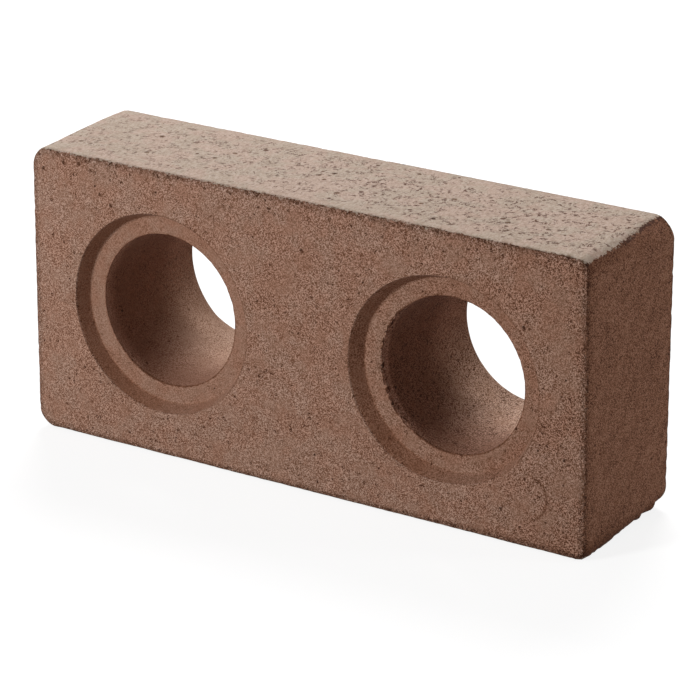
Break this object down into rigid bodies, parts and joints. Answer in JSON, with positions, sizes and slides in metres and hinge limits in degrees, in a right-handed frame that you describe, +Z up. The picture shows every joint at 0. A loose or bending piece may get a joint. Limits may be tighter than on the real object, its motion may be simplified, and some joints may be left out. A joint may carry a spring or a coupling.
{
  "type": "interlocking compressed earth block",
  "caption": "Pressed earth building block with round holes through its thickness, conical recesses round them on one bed and matching collars on the other.",
  "frame": {"origin": "middle of the long narrow face that the block rests on", "axes": "+X along the length, +Y along the holes from the recessed bed to the collared bed, +Z up"},
  "size_m": [0.25, 0.0681, 0.117],
  "materials": {
    "earth": "matt, sandy pressed earth"
  },
  "bodies": {
    "root": {"block": "earth"}
  },
  "joints": []
}
